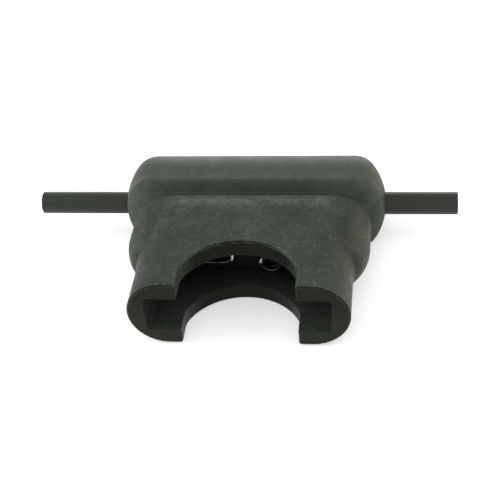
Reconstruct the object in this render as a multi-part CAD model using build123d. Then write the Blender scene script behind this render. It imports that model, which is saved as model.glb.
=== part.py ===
from build123d import *
from math import asin, degrees
import os

# Inline blade-fuse holder: a one-piece rubber moulding with a round cross bar at the back, a
# flat sleeve with the fuse pocket at the front, and a lead leaving each end of the bar.
# Millimetres. X runs along the leads and Z is up. Y runs from the fuse mouth to the back.
# The origin lies on the underside, straight below the middle of the leads' common line.

# Sleeve and fuse pocket
sleeve_width = 24.0             # over the round sides
sleeve_thickness = 8.45
sleeve_length = 15.7            # mouth face to the sleeve's back edge
sleeve_back_radius = 1.6
mouth_to_lead = 19.3            # mouth face to the line of the leads
pocket_width = 20.0
pocket_height = 4.5
pocket_depth = 10.0
pocket_corner_radius = 0.4
lip_break = 0.2                 # broken edge round the mouth and the finger cut

# Finger cut through both broad walls of the sleeve
cut_width = 12.7
cut_depth = 7.25
cut_end_rise = 4.4              # depth of the round end
cut_corner_radius = 3.0

# Shoulders round the terminals, and the neck that joins them to the bar
shoulder_width = 27.4
shoulder_thickness = 7.0
shoulder_front = 5.0            # mouth face to the front of the shoulders
shoulder_back = 18.6            # mouth face to the back of the shoulders
shoulder_front_corner = 6.0
shoulder_back_corner = 3.8
shoulder_edge_radius = 3.4
blend_radius = 1.5              # hollow blend between sleeve and shoulders
neck_width = 18.5
neck_thickness = 4.4

# Cross bar: turned about the line of the leads, then flat in front and below
bar_length = 30.7
bar_diameter = 11.1
bar_dome_radius = 7.4           # slightly domed ends
bar_edge_radius = 2.7           # rounding from the ends into the round surface
bar_flat = 2.1                  # line of the leads to the flat front wall

# Leads
lead_diameter = 2.62
left_lead_reach = 10.5          # end of the bar to the cut end of the lead
right_lead_reach = 8.2
strand_diameter = 0.3
outer_strands = 12
lay_radius = 0.59               # middle of the lead to the middles of the outer strands
strand_inset = 0.1              # the cut strands sit just inside the insulation's end
strand_brush = 0.4              # strands showing past the crimp
wire_gap = 0.01                 # strands to insulation and metal

# Terminals
stock = 0.35                    # sheet thickness
terminal_spacing = 9.4          # middle to middle
receptacle_width = 6.6
receptacle_length = 5.8
receptacle_proud = 1.0          # how far the mouths stand out of the pocket's floor
curl_diameter = 2.6
blade_slot = 0.75               # tip of each curl to the base's inner face
base_offset = 0.4               # middle plane of the blades to the base's inner face
web_flat = 0.9                  # level part of the web behind the receptacle
web_step = 1.0                  # length over which the web steps out to the crimp's height
crimp_length = 3.2
grip_length = 2.0
strap_length = 1.2              # strand crimp to insulation grip
strap_width = 1.2
strap_flat = 0.2                # level part at each end of the strap
seam_gap = 0.3                  # left open where a rolled edge comes round
moulding_gap = 0.02             # rubber to what it is moulded round
receptacle_clearance = 0.15     # room for the receptacle to spring in

os.makedirs("parts", exist_ok=True)

# Places that follow from the sizes
mid = sleeve_thickness / 2
mouth = -mouth_to_lead
pocket_floor = mouth + pocket_depth
bar_end = bar_length / 2
lead_radius = lead_diameter / 2
bundle_radius = lay_radius + strand_diameter / 2
crimp_radius = bundle_radius + wire_gap
grip_radius = lead_radius + wire_gap
terminal_x = terminal_spacing / 2
terminal_mouth = pocket_floor - receptacle_proud
receptacle_back = terminal_mouth + receptacle_length
base_inner = mid + base_offset
base_outer = base_inner + stock
crimp_start = terminal_x - crimp_length / 2
crimp_end = terminal_x + crimp_length / 2
grip_start = crimp_end + strap_length
grip_end = grip_start + grip_length
insulation_start = grip_start - strap_flat


def block(x_low, x_high, y_low, y_high, z_low, z_high):
    shape = Box(x_high - x_low, y_high - y_low, z_high - z_low)
    return Pos((x_low + x_high) / 2, (y_low + y_high) / 2, (z_low + z_high) / 2) * shape


def rod(radius, x_low, x_high):
    """A round bar on the line of the leads."""
    return extrude(Plane.YZ.offset(x_low) * Pos(0, mid) * Circle(radius), x_high - x_low)


def prism(section, y_low, y_high):
    """A section in X and Z, drawn out towards the back."""
    return extrude(Plane.XZ.offset(-y_low) * section, y_low - y_high)


def turn_over(shape):
    """The right-hand half of the holder, turned over to become the left-hand half."""
    return Pos(0, 0, mid) * Rot(0, 180, 0) * Pos(0, 0, -mid) * shape


def make_finger_cut():
    """Straight sides, blended into a flat round end."""
    half = cut_width / 2
    end = mouth + cut_depth
    side_end = end - cut_end_rise
    start = mouth - cut_depth
    sides = Polyline((-half, side_end), (-half, start), (half, start), (half, side_end))
    plan = make_face(sides + ThreePointArc((half, side_end), (0, end), (-half, side_end)))
    plan = fillet(plan.vertices().group_by(Axis.Y)[-1], cut_corner_radius)
    return extrude(plan, sleeve_thickness)


def make_sleeve():
    outside = Pos(0, mid) * SlotOverall(sleeve_width, sleeve_thickness)
    sleeve = prism(outside, mouth, mouth + sleeve_length)
    return fillet(sleeve.faces().sort_by(Axis.Y)[-1].edges(), sleeve_back_radius)


def make_shoulders():
    depth = shoulder_back - shoulder_front
    plan = Pos(0, mouth + (shoulder_front + shoulder_back) / 2) * Rectangle(shoulder_width, depth)
    plan = fillet(plan.vertices().group_by(Axis.Y)[0], shoulder_front_corner)
    plan = fillet(plan.vertices().group_by(Axis.Y)[-1], shoulder_back_corner)
    shoulders = Pos(0, 0, mid - shoulder_thickness / 2) * extrude(plan, shoulder_thickness)
    return fillet(shoulders.faces().filter_by(Plane.XY).edges(), shoulder_edge_radius)


def make_front():
    """The sleeve flowing into the shoulders, with the finger cut and broken edges at the mouth."""
    sleeve = make_sleeve()
    shoulders = make_shoulders()
    front = sleeve + shoulders
    front = fillet(new_edges(sleeve, shoulders, combined=front), blend_radius)
    front -= make_finger_cut()
    lips = front.edges().group_by(Axis.Y)[0]
    for edge in front.edges().filter_by_position(Axis.Y, mouth, mouth + cut_depth):
        on_broad_face = abs(edge.center().Z - mid) > mid - lip_break
        if on_broad_face and abs(edge.center().X) <= cut_width / 2:
            lips.append(edge)
    return chamfer(lips, lip_break)


def make_bar():
    radius = bar_diameter / 2
    straight = bar_end - bar_dome_radius
    corner_of_plan = (Align.MIN, Align.MIN)
    domed = Circle(bar_dome_radius) & Rectangle(bar_dome_radius, radius, align=corner_of_plan)
    half_section = Rectangle(straight, radius, align=corner_of_plan) + Pos(straight, 0) * domed
    edge = half_section.vertices().group_by(Axis.Y)[-1].sort_by(Axis.X)[-1]
    turned = Pos(0, 0, mid) * revolve(fillet(edge, bar_edge_radius), Axis.X)
    turned += mirror(turned, Plane.YZ)
    return turned & block(-bar_end, bar_end, -bar_flat, radius, 0, mid + radius)


def make_terminal():
    """The right-hand terminal: one strip of sheet, with its base above and its curls below."""
    curl_radius = (curl_diameter - stock) / 2
    curl_x = (receptacle_width - curl_diameter) / 2
    base_middle = base_inner + stock / 2
    curl_z = base_middle - curl_radius
    curl_turn = 270 + degrees(asin((base_inner - blade_slot - curl_z) / curl_radius))
    section = Line((terminal_x - curl_x, base_middle), (terminal_x + curl_x, base_middle))
    section += CenterArc((terminal_x + curl_x, curl_z), curl_radius, 90, -curl_turn)
    section += CenterArc((terminal_x - curl_x, curl_z), curl_radius, 90, curl_turn)
    receptacle = prism(trace(section, stock), terminal_mouth, receptacle_back)

    # The web leaves the base level, steps out and rolls once round the strands.
    crimp_middle = crimp_radius + stock / 2
    closing = degrees(asin((crimp_radius - seam_gap) / (crimp_radius + stock)))
    web = Polyline(
        (receptacle_back, base_middle),
        (receptacle_back + web_flat, base_middle),
        (receptacle_back + web_flat + web_step, mid + crimp_middle),
        (0, mid + crimp_middle),
    )
    roll = CenterArc((0, mid), crimp_middle, 90, -270 - closing)
    crimp = extrude(Plane.YZ.offset(crimp_start) * trace(web + roll, stock), crimp_length)

    # The grip closes round the insulation, open along the bottom.
    grip_middle = grip_radius + stock / 2
    half_seam = degrees(seam_gap / 2 / grip_middle)
    wings = CenterArc((0, mid), grip_middle, half_seam - 90, 360 - 2 * half_seam)
    grip = extrude(Plane.YZ.offset(grip_start) * trace(wings, stock), grip_length)
    strap_line = Polyline(
        (crimp_end, mid + crimp_middle),
        (crimp_end + strap_flat, mid + crimp_middle),
        (grip_start - strap_flat, mid + grip_middle),
        (grip_start, mid + grip_middle),
    )
    strap = prism(trace(strap_line, stock), -strap_width / 2, strap_width / 2)
    strap &= rod(grip_radius + stock, crimp_end, grip_start)
    return receptacle + crimp + strap + grip


def make_hollow():
    """What the right-hand terminal and lead leave free in the rubber."""
    room = receptacle_clearance
    left = terminal_x - receptacle_width / 2
    right = terminal_x + receptacle_width / 2
    lowest = base_outer - curl_diameter
    hollow = block(left - room, right + room, terminal_mouth, receptacle_back + room,
                   lowest - room, base_outer + room)
    gap = moulding_gap
    crimp_outer = crimp_radius + stock
    hollow += block(crimp_start - gap, crimp_end + gap, receptacle_back, 0,
                    base_inner - gap, mid + crimp_outer + gap)
    hollow += rod(crimp_outer + gap, crimp_start - strand_brush - gap, crimp_end)
    hollow += rod(grip_radius + stock + gap, crimp_end, grip_end + gap)
    hollow += rod(lead_radius + gap, grip_end, bar_end + lead_diameter)
    return hollow


def make_body():
    neck = Pos(0, mid) * SlotOverall(neck_width, neck_thickness)
    body = make_front() + make_bar() + prism(neck, pocket_floor, 0)
    pocket = Pos(0, mid) * RectangleRounded(pocket_width, pocket_height, pocket_corner_radius)
    body -= prism(pocket, mouth - pocket_depth, pocket_floor)
    hollow = make_hollow()
    return body - hollow - turn_over(hollow)


def make_conductor(end):
    """The outer strands round the inner ones, which are pressed into one core."""
    section = Circle(lay_radius)
    for place in PolarLocations(lay_radius, outer_strands):
        section += place * Circle(strand_diameter / 2)
    start = crimp_start - strand_brush
    return extrude(Plane.YZ.offset(start) * Pos(0, mid) * section, end - strand_inset - start)


def make_insulation(end):
    return rod(lead_radius, insulation_start, end) - rod(bundle_radius + wire_gap, 0, end)


terminal = make_terminal()
left_end = bar_end + left_lead_reach
right_end = bar_end + right_lead_reach
nodes = {
    "rubber_body": make_body(),
    "right_terminal": terminal,
    "left_terminal": turn_over(terminal),
    "right_insulation": make_insulation(right_end),
    "left_insulation": turn_over(make_insulation(left_end)),
    "right_conductor": make_conductor(right_end),
    "left_conductor": turn_over(make_conductor(left_end)),
}
for name, solid in nodes.items():
    export_step(solid, f"parts/{name}.step")
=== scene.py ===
from math import cos, pi, radians, sin

import bpy
from mathutils import Matrix, Vector


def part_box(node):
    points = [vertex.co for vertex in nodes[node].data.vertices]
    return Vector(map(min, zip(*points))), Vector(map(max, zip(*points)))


# Looks of the inline fuse holder. Metres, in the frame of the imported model: X along the
# leads, Y from the fuse mouth to the cross bar, Z up, the part lying on Z = 0.

MM = 0.001

# Camera, solved from the photograph
image_size = 500
focal_pixels = 1133.3
sensor_width = 36.0
camera_yaw = 10.08
camera_elevation = 40.31
camera_roll = -6.13
camera_distance = 125.2 * MM
camera_near_limit = 10 * MM
aim = Vector((0.569, -10.578, 5.940)) * MM

# Floor and light
floor_size = 4.0
sky_strength = 0.83
floor_shade = 0.9
floor_white = 0.38              # added for the camera and for reflections, so that the floor shows white
softboxes = {                   # place, size and power
    "back_low": ((0.0, 0.30, 0.06), (0.30, 0.10), 0.30),
    "front": ((0.0, -0.22, 0.20), (0.30, 0.15), 0.06),
    "left": ((-0.25, 0.0, 0.15), (0.15, 0.20), 0.34),
    "right": ((0.25, 0.0, 0.15), (0.15, 0.20), 0.15),
}

# Colours, linear
rubber_dark = (0.0285, 0.034, 0.0275)
# Bloom, which on the bar is partly painted light
rubber_bloom_and_light = (0.068, 0.078, 0.065)
# Chalk, partly painted highlight, also used on edges that face up
rubber_chalk_and_highlight = (0.142, 0.155, 0.134)
rubber_yellow = (0.072, 0.075, 0.047)
rubber_front = (0.0060, 0.0075, 0.0050)
# Scuffs, and painted light from the floor low on the front
rubber_scuffed_and_bounce_lit = (0.0170, 0.0205, 0.0145)
# Painted shade in the pocket and the finger cut, and the dark of the parting line
rubber_shade_and_line = (0.0035, 0.0043, 0.0033)
dust_colour = (0.34, 0.34, 0.31)
insulation_colour = (0.024, 0.029, 0.022)
# Painted light on the terminals
tin_painted_light = (0.62, 0.61, 0.57)
tin_bright = (0.58, 0.60, 0.54)
tin_dull = (0.13, 0.14, 0.115)
# Painted shade on the terminals' front edges
tin_painted_shade = (0.018, 0.020, 0.016)
copper_colour = (0.50, 0.23, 0.12)
copper_dark = (0.05, 0.02, 0.01)

# Where the look of the rubber changes, each from one place to the other: depths run back from
# the mouth, distances run out from the middle, and x and heights are the frame's own
bar_bloom_and_light_depth = (12 * MM, 17 * MM)
shoulder_distance = (10.5 * MM, 12.5 * MM)
smoother_bar_depth = (15 * MM, 17 * MM)
chalk_highlight_start_depth = (13.2 * MM, 15.0 * MM)
chalk_highlight_end_depth = (16.8 * MM, 16.6 * MM)
chalk_highlight_distance = (10.2 * MM, 7.8 * MM)
bar_left_x = (-11.5 * MM, -14 * MM)
bar_right_x = (11.5 * MM, 14 * MM)
bar_front_start_depth = (16.9 * MM, 17.1 * MM)
bar_front_end_depth = (18.4 * MM, 17.2 * MM)
bar_top_depth = (20 * MM, 23 * MM)
bar_top_middle_x = 3 * MM
bar_top_reach = (12 * MM, 3 * MM)
yellow_x = (9 * MM, 10.5 * MM)
near_mouth_depth = (5 * MM, 1 * MM)
pocket_shade_depth = (2 * MM, 9 * MM)
pocket_back_depth = (9.7 * MM, 9.9 * MM)
# Painted light from the floor, stronger lower down on the front
bounce_lit_height = (6.5 * MM, 2.5 * MM)
lighter_left_x = (-10 * MM, -12 * MM)
cut_start_depth = (0.3 * MM, 0.5 * MM)
parting_distance = (10.3 * MM, 10.5 * MM)
parting_fade_depth = (15 * MM, 12 * MM)
parting_edge = (0.10 * MM, 0.04 * MM)
soft_bar_depth = (16.4 * MM, 16.8 * MM)

# Just outside the pocket's walls and floor, and just behind the finger cut
pocket_half_width = 10.1 * MM
pocket_half_height = 2.35 * MM
pocket_floor_depth = 10.2 * MM
behind_cut_depth = 8.5 * MM

# Which way a face looks where its colour changes, as one part of its normal, from none to full
dusty_upwards = (0.1, 0.6)
worn_highlit_upwards = (0.0, 0.4)
yellow_rightwards = (0.15, 0.8)
dark_rightwards = (0.5, 0.9)
darker_forwards = (-0.4, -0.7)
shaded_forwards = (-0.80, -0.96)
cut_end_sideways = (0.7, 0.9)
edge_agreement = (0.99, 0.90)           # of the rounded normal with the plain one

# How strong each look of the rubber is
bloom_and_light_level = (0.14, 0.88)              # on the sleeve and on the bar
shoulder_bloom = 0.45
cloud_swing = 0.30
mottle_swing = 0.22
grain_swing = 0.30
bar_grain = 0.55                        # what is left of mottle and grain there
chalk_highlight_level = 0.75
chalk_highlight_swing = 1.4
chalk_highlight_left_end = 0.65
chalk_highlight_right_end = 0.25
chalk_highlight_bar_front = 0.25
chalk_highlight_bar_top = 0.55
yellow_level = 0.45
# Painted shade in the pocket
pocket_shade = (0.10, 0.55)             # at the mouth and far in
pocket_back_shade = 0.95
pocket_left_shade = 0.35
scuff_swing = 0.6
scuffs_and_bounce_lost_in_cut = 0.85
wear_and_highlight_level = (0.1, 0.9)
parting_at_mouth = 0.3
parting_shade = 0.3

# Noise: sizes of its features, and the part of its values that is spread over the whole effect
cloud_size = 5 * MM
mottle_size = 0.8 * MM
grain_size = 0.16 * MM
dust_patch_size = 2.5 * MM
worn_highlit_patch_size = 0.35 * MM
relief_size = 0.25 * MM
sheen_patch_size = 1.5 * MM
streak_size = 0.4 * MM
streak_stretch = (12, 1, 1)             # along the lead
tarnish_patch_size = 0.9 * MM
copper_patch_size = 0.2 * MM
most_noise = (0.3, 0.7)
middle_noise = (0.35, 0.65)
dust_noise = (0.38, 0.60)
worn_highlit_noise = (0.45, 0.60)
tarnish_noise = (0.4, 0.65)

# Dust, as specks in cells of this spacing
speck_spacing = 0.42 * MM
speck_reach = (0.02, 0.19)              # as parts of the spacing
speck_chance = (0.3, 1.0)
speck_level = (0.05, 0.7)
fewest_specks = 0.2

# Edges that look rounder than they are
# Edges lightened by wear and by painted highlight
worn_highlit_edge_radius = 0.3 * MM
soft_bar_radius = 0.9 * MM
burr_radius = 0.12 * MM

# Relief, as its height and its strength
grain_relief = (0.02 * MM, 0.35)
parting_relief = (0.03 * MM, 0.4)
streak_relief = (0.01 * MM, 0.5)
strand_relief = (0.05 * MM, 0.5)

# Gloss, each roughness from the smoothest to the roughest patches
rubber_roughness = (0.44, 0.58)
insulation_roughness = (0.38, 0.50)
tin_roughness = (0.28, 0.45)
copper_roughness = (0.35, 0.55)
rubber_specular = 0.13
rubber_specular_tint = (0.92, 1.0, 0.78)
insulation_specular = 0.25

# Terminals and strands
lit_distance = (1.8 * MM, 1.6 * MM)    # where painted light falls on the terminals
lit_height = (-0.5 * MM, -0.3 * MM)    # from the leads' height
strand_radius = 0.15 * MM
strand_gap = 0.03 * MM
strand_rings = ((6, 0.30 * MM), (12, 0.59 * MM))

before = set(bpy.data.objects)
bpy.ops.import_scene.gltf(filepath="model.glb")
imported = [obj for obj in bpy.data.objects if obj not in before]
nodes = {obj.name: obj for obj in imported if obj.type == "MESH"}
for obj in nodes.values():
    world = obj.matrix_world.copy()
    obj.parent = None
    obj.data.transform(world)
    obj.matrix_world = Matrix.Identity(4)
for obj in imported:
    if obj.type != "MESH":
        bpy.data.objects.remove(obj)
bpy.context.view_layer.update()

body_low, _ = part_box("rubber_body")
lead_low, lead_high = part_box("left_insulation")
lead_height = (lead_low[2] + lead_high[2]) / 2
mouth = body_low[1]


class Graph:
    """A short way to write shader nodes."""

    def __init__(self, name):
        self.material = bpy.data.materials.new(name)
        self.material.use_nodes = True
        self.tree = self.material.node_tree
        self.tree.nodes.clear()

    def add(self, kind, inputs=None, **settings):
        node = self.tree.nodes.new(kind)
        for key, value in settings.items():
            setattr(node, key, value)
        for key, value in (inputs or {}).items():
            if isinstance(value, bpy.types.NodeSocket):
                self.tree.links.new(value, node.inputs[key])
            else:
                node.inputs[key].default_value = value
        return node

    def math(self, operation, first, second=0.0, clamp=False):
        node = self.add("ShaderNodeMath", {0: first, 1: second}, operation=operation)
        node.use_clamp = clamp
        return node.outputs[0]

    def product(self, first, *others):
        for other in others:
            first = self.math("MULTIPLY", first, other)
        return first

    def parts(self, vector):
        """The X, Y and Z of a vector."""
        return self.add("ShaderNodeSeparateXYZ", {0: vector}).outputs

    def place(self):
        return self.add("ShaderNodeTexCoord").outputs["Object"]

    def normal(self):
        return self.add("ShaderNodeNewGeometry").outputs["Normal"]

    def rounded(self, radius):
        """The normal as if the edges had this radius."""
        return self.add("ShaderNodeBevel", {"Radius": radius}, samples=8).outputs[0]

    def mix(self, factor, first, second):
        node = self.add("ShaderNodeMix", data_type="RGBA")
        for index, value in ((0, factor), (6, first), (7, second)):
            if isinstance(value, bpy.types.NodeSocket):
                self.tree.links.new(value, node.inputs[index])
            elif index == 0:
                node.inputs[index].default_value = value
            else:
                node.inputs[index].default_value = (*value, 1.0)
        return node.outputs[2]

    def blend(self, factor, first, second):
        """A vector part of the way from the first to the second."""
        node = self.add("ShaderNodeMix", data_type="VECTOR", factor_mode="UNIFORM")
        for index, value in ((0, factor), (4, first), (5, second)):
            self.tree.links.new(value, node.inputs[index])
        return node.outputs[1]

    def noise(self, size, detail=3.0, roughness=0.5, stretch=(1, 1, 1)):
        """Noise whose features are about size across, in metres."""
        scale = tuple(1 / (size * s) for s in stretch)
        moved = self.add("ShaderNodeMapping", {"Vector": self.place(), "Scale": scale}).outputs[0]
        return self.add(
            "ShaderNodeTexNoise",
            {"Vector": moved, "Scale": 1.0, "Detail": detail, "Roughness": roughness},
        ).outputs[0]

    def ramp(self, value, low, high, from_value=0.0, to_value=1.0):
        node = self.add(
            "ShaderNodeMapRange",
            {"Value": value, "From Min": low, "From Max": high, "To Min": from_value, "To Max": to_value},
        )
        return node.outputs[0]

    def bump(self, height, depth, strength, normal=None):
        inputs = {"Height": height, "Distance": depth, "Strength": strength}
        if normal is not None:
            inputs["Normal"] = normal
        return self.add("ShaderNodeBump", inputs).outputs[0]

    def surface(self, shader):
        self.add("ShaderNodeOutputMaterial", {"Surface": shader})
        return self.material

    def principled(self, inputs):
        return self.surface(self.add("ShaderNodeBsdfPrincipled", inputs).outputs[0])


class Rubber(Graph):
    """The body's rubber, from its even colour to the last marks on it."""

    def __init__(self):
        super().__init__("rubber")
        self.where = self.place()
        self.x, y, self.z = self.parts(self.where)
        self.plain_normal = self.normal()
        self.facing = self.parts(self.plain_normal)
        self.depth = self.math("SUBTRACT", y, mouth)
        self.across = self.math("ABSOLUTE", self.x)
        self.beside = self.math("ABSOLUTE", self.math("SUBTRACT", self.z, lead_height))
        self.on_shoulders = self.ramp(self.across, *shoulder_distance)
        self.in_pocket = self.product(
            self.math("LESS_THAN", self.across, pocket_half_width),
            self.math("LESS_THAN", self.beside, pocket_half_height),
            self.math("LESS_THAN", self.depth, pocket_floor_depth),
        )
        self.outside = self.math("SUBTRACT", 1.0, self.in_pocket)
        self.uneven = self.clouds_and_grain()
        chalk_highlight_patches = self.math("MULTIPLY", self.uneven, chalk_highlight_swing)
        self.patchy = self.math("ADD", chalk_highlight_patches, chalk_highlight_level, clamp=True)

    def clouds_and_grain(self):
        cloud_noise = self.noise(cloud_size, detail=6, roughness=0.6)
        mottle_noise = self.noise(mottle_size, roughness=0.6)
        grain_noise = self.noise(grain_size, detail=2)
        clouds = self.ramp(cloud_noise, *most_noise, -cloud_swing, cloud_swing)
        mottle = self.ramp(mottle_noise, *middle_noise, -mottle_swing, mottle_swing)
        grain = self.ramp(grain_noise, *middle_noise, -grain_swing, grain_swing)
        smoother = self.ramp(self.depth, *smoother_bar_depth, 1.0, bar_grain)
        return self.math("ADD", clouds, self.product(self.math("ADD", grain, mottle), smoother))

    def bloom_and_light(self):
        """Bloom lies in soft clouds, stronger on the shoulders and strongest on the bar, where its lighter
        colour is partly painted light.
        """
        towards_bar = self.ramp(self.depth, *bar_bloom_and_light_depth, *bloom_and_light_level)
        on_shoulders = self.math("MULTIPLY", self.on_shoulders, shoulder_bloom)
        spread = self.math("MAXIMUM", towards_bar, on_shoulders)
        bloom_and_light_amount = self.math("ADD", self.uneven, spread, clamp=True)
        return self.mix(bloom_and_light_amount, rubber_dark, rubber_bloom_and_light)

    def chalk_and_highlights(self, colour):
        """Chalk, partly painted highlight, along the sleeve's back edge, at the ends of the bar's front and
        on its top.
        """
        sleeve_back = self.product(
            self.ramp(self.depth, *chalk_highlight_start_depth),
            self.ramp(self.depth, *chalk_highlight_end_depth),
            self.ramp(self.across, *chalk_highlight_distance),
        )
        left_end = self.ramp(self.x, *bar_left_x, 0.0, chalk_highlight_left_end)
        right_end = self.ramp(self.x, *bar_right_x, 0.0, chalk_highlight_right_end)
        bar_front = self.product(
            self.ramp(self.depth, *bar_front_start_depth),
            self.ramp(self.depth, *bar_front_end_depth),
            self.math("ADD", self.math("ADD", left_end, right_end), chalk_highlight_bar_front),
        )
        off_middle = self.math("ABSOLUTE", self.math("SUBTRACT", self.x, bar_top_middle_x))
        bar_top = self.product(
            self.ramp(self.depth, *bar_top_depth),
            self.ramp(off_middle, *bar_top_reach, 0.0, chalk_highlight_bar_top),
        )
        chalk_and_highlight = self.math("MAXIMUM", self.math("MAXIMUM", sleeve_back, bar_front), bar_top)
        return self.mix(self.product(chalk_and_highlight, self.patchy), colour, rubber_chalk_and_highlight)

    def yellowed(self, colour):
        """The outsides on the right are a little yellow."""
        faces_right = self.ramp(self.facing["X"], *yellow_rightwards, 0.0, yellow_level)
        on_right = self.ramp(self.x, *yellow_x)
        return self.mix(self.product(faces_right, on_right), colour, rubber_yellow)

    def dusty(self, colour):
        """Specks where the rubber faces up, and more of them at the mouth and on the shoulders."""
        cells = self.add("ShaderNodeTexVoronoi", {"Vector": self.where, "Scale": 1 / speck_spacing})
        chance = self.add("ShaderNodeSeparateColor", {0: cells.outputs["Color"]})
        reach = self.ramp(chance.outputs[0], 0.0, 1.0, *speck_reach)
        speck = self.math("LESS_THAN", cells.outputs["Distance"], reach)
        strength = self.ramp(chance.outputs[1], *speck_chance, *speck_level)
        gathered = self.ramp(self.noise(dust_patch_size, detail=2), *dust_noise, fewest_specks, 1.0)
        near_mouth = self.ramp(self.depth, *near_mouth_depth)
        gathered = self.math("MAXIMUM", gathered, self.math("MAXIMUM", near_mouth, self.on_shoulders))
        faces_up = self.ramp(self.facing["Z"], *dusty_upwards)
        dust = self.product(speck, gathered, strength, faces_up, self.outside)
        return self.mix(dust, colour, dust_colour)

    def painted_shade_inside(self, colour):
        """Painted shade in the pocket: darker and darker inwards, darkest on its back wall, and dark on its
        left.
        """
        deeper = self.ramp(self.depth, *pocket_shade_depth, *pocket_shade)
        back_wall = self.ramp(self.depth, *pocket_back_depth, 0.0, pocket_back_shade)
        left_wall = self.ramp(self.facing["X"], *dark_rightwards, 0.0, pocket_left_shade)
        darkest = self.math("MAXIMUM", self.math("MAXIMUM", deeper, back_wall), left_wall)
        return self.mix(self.product(self.in_pocket, darkest), colour, rubber_shade_and_line)

    def darker_in_front(self, colour):
        """The end face and the finger cut are darker, the finger cut with painted shade; lower down they are
        lighter with painted light from the floor, and a little lighter on the left and in scuffs here and
        there.
        """
        # Painted light from the floor, stronger lower down
        low_down = self.ramp(self.z, *bounce_lit_height)
        on_left = self.ramp(self.x, *lighter_left_x)
        here_and_there = self.math("MULTIPLY", self.uneven, scuff_swing)
        scuffs_and_bounce = self.math("ADD", self.math("ADD", low_down, on_left), here_and_there)
        in_cut = self.ramp(self.depth, *cut_start_depth)
        fewer_in_cut = self.math("SUBTRACT", 1.0, self.math("MULTIPLY", in_cut, scuffs_and_bounce_lost_in_cut))
        scuffs_and_bounce = self.product(scuffs_and_bounce, fewer_in_cut)
        # The finger cut gets painted shade, lightened by scuffs and painted floor light
        front_colour = self.mix(scuffs_and_bounce, self.mix(in_cut, rubber_front, rubber_shade_and_line), rubber_scuffed_and_bounce_lit)
        before_cut_ends = self.math("LESS_THAN", self.depth, behind_cut_depth)
        faces_front = self.ramp(self.facing["Y"], *darker_forwards)
        return self.mix(self.product(before_cut_ends, faces_front), colour, front_colour)

    def worn_and_highlit_edges(self, colour):
        """Edges that face up are pale here and there, partly rubbed and partly a painted highlight."""
        normals = {0: self.plain_normal, 1: self.rounded(worn_highlit_edge_radius)}
        turned = self.add("ShaderNodeVectorMath", normals, operation="DOT_PRODUCT")
        edge = self.ramp(turned.outputs["Value"], *edge_agreement)
        here_and_there = self.ramp(self.noise(worn_highlit_patch_size), *worn_highlit_noise, *wear_and_highlight_level)
        faces_up = self.ramp(self.facing["Z"], *worn_highlit_upwards)
        return self.mix(self.product(edge, here_and_there, faces_up, self.outside), colour, rubber_chalk_and_highlight)

    def parting_line(self):
        """Parting line of the mould, round the outside."""
        return self.product(
            self.ramp(self.beside, *parting_edge),
            self.ramp(self.across, *parting_distance),
            self.ramp(self.depth, *parting_fade_depth, parting_at_mouth, 1.0),
        )

    def relief(self, line):
        """A fine grain and the parting line, over the bar's softened edges."""
        on_bar = self.ramp(self.depth, *soft_bar_depth)
        soft = self.blend(on_bar, self.plain_normal, self.rounded(soft_bar_radius))
        grained = self.bump(self.noise(relief_size), *grain_relief, soft)
        return self.bump(line, *parting_relief, grained)


def rubber():
    g = Rubber()
    colour = g.bloom_and_light()
    for layer in (g.chalk_and_highlights, g.yellowed, g.dusty, g.painted_shade_inside, g.darker_in_front, g.worn_and_highlit_edges):
        colour = layer(colour)
    line = g.parting_line()
    inputs = {
        "Base Color": g.mix(g.math("MULTIPLY", line, parting_shade), colour, rubber_shade_and_line),
        "Roughness": g.ramp(g.noise(sheen_patch_size), *most_noise, *rubber_roughness),
        "Normal": g.relief(line),
        "Specular IOR Level": rubber_specular,
        "Specular Tint": (*rubber_specular_tint, 1.0),
    }
    return g.principled(inputs)


def insulation():
    g = Graph("insulation")
    streaks = g.noise(streak_size, stretch=streak_stretch)
    inputs = {
        "Base Color": (*insulation_colour, 1.0),
        "Roughness": g.ramp(streaks, *most_noise, *insulation_roughness),
        "Normal": g.bump(streaks, *streak_relief),
        "Specular IOR Level": insulation_specular,
    }
    return g.principled(inputs)


def tinned_brass():
    g = Graph("tinned brass")
    place = g.parts(g.place())
    rounded = g.rounded(burr_radius)

    # The sheared front edges get painted shade, apart from their burrs and the painted light near the middle
    # and high up.
    facing_front_shaded = g.ramp(g.parts(rounded)["Y"], *shaded_forwards)
    near_middle = g.ramp(g.math("ABSOLUTE", place["X"]), *lit_distance)
    high_up = g.ramp(g.math("SUBTRACT", place["Z"], lead_height), *lit_height)
    painted_light = g.product(near_middle, high_up)
    dark = g.product(facing_front_shaded, g.math("SUBTRACT", 1.0, painted_light))
    tarnish = g.ramp(g.noise(tarnish_patch_size, detail=4), *tarnish_noise)
    colour = g.mix(tarnish, tin_bright, tin_dull)
    colour = g.mix(painted_light, colour, tin_painted_light)
    colour = g.mix(dark, colour, tin_painted_shade)
    roughness = g.ramp(tarnish, 0.0, 1.0, *tin_roughness)
    return g.principled({"Base Color": colour, "Roughness": roughness, "Metallic": 1.0, "Normal": rounded})


def strand_places():
    """Middles of the strands in the cut end, one ring inside the next, as (Y, Z)."""
    yield 0.0, lead_height
    for count, radius in strand_rings:
        for step in range(count):
            turn = 2 * pi * step / count
            yield radius * cos(turn), lead_height + radius * sin(turn)


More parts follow.
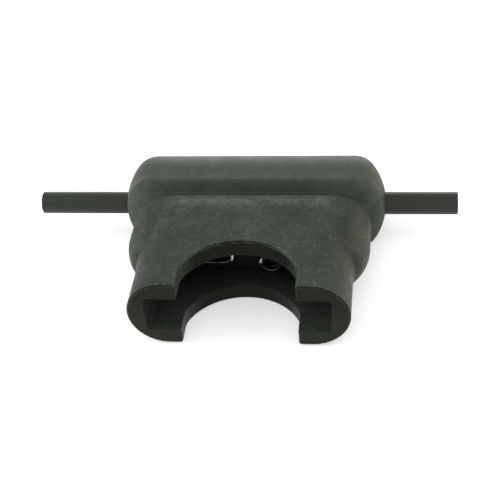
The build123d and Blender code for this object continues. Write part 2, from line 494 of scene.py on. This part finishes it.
def copper():
    g = Graph("copper")
    place = g.parts(g.place())
    flat = g.add("ShaderNodeCombineXYZ", {"Y": place["Y"], "Z": place["Z"]}).outputs[0]
    nearest = 1.0
    for y, z in strand_places():
        reach = g.add("ShaderNodeVectorMath", {0: flat, 1: (0, y, z)}, operation="DISTANCE").outputs["Value"]
        nearest = g.math("MINIMUM", nearest, reach)
    cut_end = g.ramp(g.math("ABSOLUTE", g.parts(g.normal())["X"]), *cut_end_sideways)
    gap = g.math("MULTIPLY", cut_end, g.ramp(nearest, strand_radius - strand_gap, strand_radius))
    colour = g.mix(gap, copper_colour, copper_dark)
    roughness = g.ramp(g.noise(copper_patch_size, detail=2), *most_noise, *copper_roughness)
    domed = g.bump(g.math("MULTIPLY", cut_end, nearest), *strand_relief)
    return g.principled({"Base Color": colour, "Roughness": roughness, "Metallic": 1.0, "Normal": domed})


def give(material, slot, *names):
    for name in names:
        piece = nodes[name]
        piece.data.materials.clear()
        piece.data.materials.append(material)


def make_floor():
    g = Graph("floor")
    shade = g.add("ShaderNodeBsdfDiffuse", {"Color": (floor_shade, floor_shade, floor_shade, 1.0)})
    path = g.add("ShaderNodeLightPath").outputs
    mirrored = g.math("MAXIMUM", path["Is Glossy Ray"], path["Is Transmission Ray"])
    seen = g.math("MAXIMUM", path["Is Camera Ray"], mirrored)
    strength = g.math("MULTIPLY", seen, floor_white)
    glow = g.add("ShaderNodeEmission", {"Color": (1, 1, 1, 1), "Strength": strength})
    both = g.add("ShaderNodeAddShader", {0: shade.outputs[0], 1: glow.outputs[0]})
    bpy.ops.mesh.primitive_plane_add(size=floor_size)
    floor = bpy.context.object
    floor.name = "floor"
    floor.data.materials.append(g.surface(both.outputs[0]))


def make_sky():
    world = bpy.data.worlds.new("studio")
    bpy.context.scene.world = world
    world.use_nodes = True
    background = world.node_tree.nodes["Background"]
    background.inputs["Color"].default_value = (1, 1, 1, 1)
    background.inputs["Strength"].default_value = sky_strength


def make_softbox(name, place, size, power):
    light = bpy.data.lights.new(name, "AREA")
    light.shape = "RECTANGLE"
    light.size, light.size_y = size
    light.energy = power
    lamp = bpy.data.objects.new(name, light)
    bpy.context.scene.collection.objects.link(lamp)
    lamp.location = Vector(place)
    lamp.rotation_euler = (aim - Vector(place)).to_track_quat("-Z", "Y").to_euler()


def make_camera():
    yaw, elevation, roll = map(radians, (camera_yaw, camera_elevation, camera_roll))
    back = Vector((sin(yaw) * cos(elevation), -cos(yaw) * cos(elevation), sin(elevation)))
    level = Vector((cos(yaw), sin(yaw), 0))
    upright = back.cross(level)
    right = level * cos(roll) + upright * sin(roll)
    up = upright * cos(roll) - level * sin(roll)
    camera = bpy.data.objects.new("camera", bpy.data.cameras.new("camera"))
    bpy.context.scene.collection.objects.link(camera)
    camera.data.sensor_width = sensor_width
    camera.data.lens = focal_pixels / image_size * sensor_width
    camera.data.clip_start = camera_near_limit
    turn = Matrix((right, up, back)).transposed().to_4x4()
    camera.matrix_world = Matrix.Translation(aim + back * camera_distance) @ turn
    bpy.context.scene.camera = camera


give(rubber(), "body_rubber", "rubber_body")
give(insulation(), "wire_insulation", "left_insulation", "right_insulation")
give(tinned_brass(), "tinned_brass", "left_terminal", "right_terminal")
give(copper(), "copper_strand", "left_conductor", "right_conductor")

make_floor()
make_sky()
for name, (place, size, power) in softboxes.items():
    make_softbox(name, place, size, power)
make_camera()
bpy.context.scene.view_settings.view_transform = "Standard"
